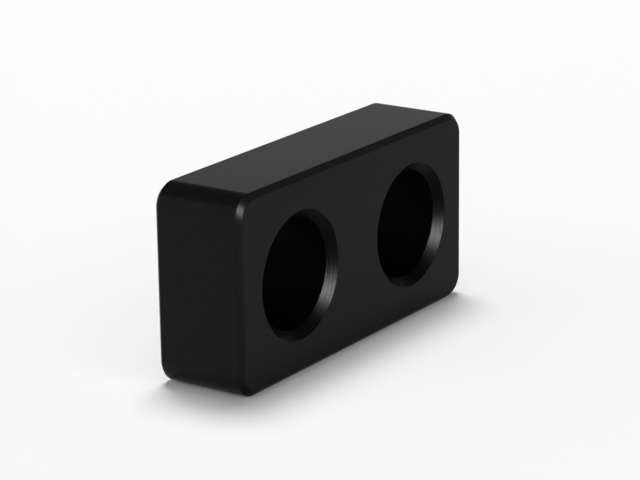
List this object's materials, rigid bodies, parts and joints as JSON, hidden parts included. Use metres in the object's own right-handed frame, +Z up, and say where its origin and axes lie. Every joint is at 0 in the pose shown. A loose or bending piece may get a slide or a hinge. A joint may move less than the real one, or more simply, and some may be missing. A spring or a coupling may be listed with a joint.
{
  "type": "mounting block",
  "caption": "Black machined steel mounting block with chamfered through-bores for bolts or clamps, rounded corners and flat faces for spacing, stacking and bolting down.",
  "frame": {"origin": "centre of the underside, the long narrow side that the block stands on", "axes": "+X along the block's length, +Y along the bores towards the back face (the front face looks towards -Y), +Z up"},
  "size_m": [0.1, 0.025, 0.05],
  "materials": {
    "black_steel": "satin"
  },
  "bodies": {
    "root": {"mounting_block": "black_steel"}
  },
  "joints": []
}
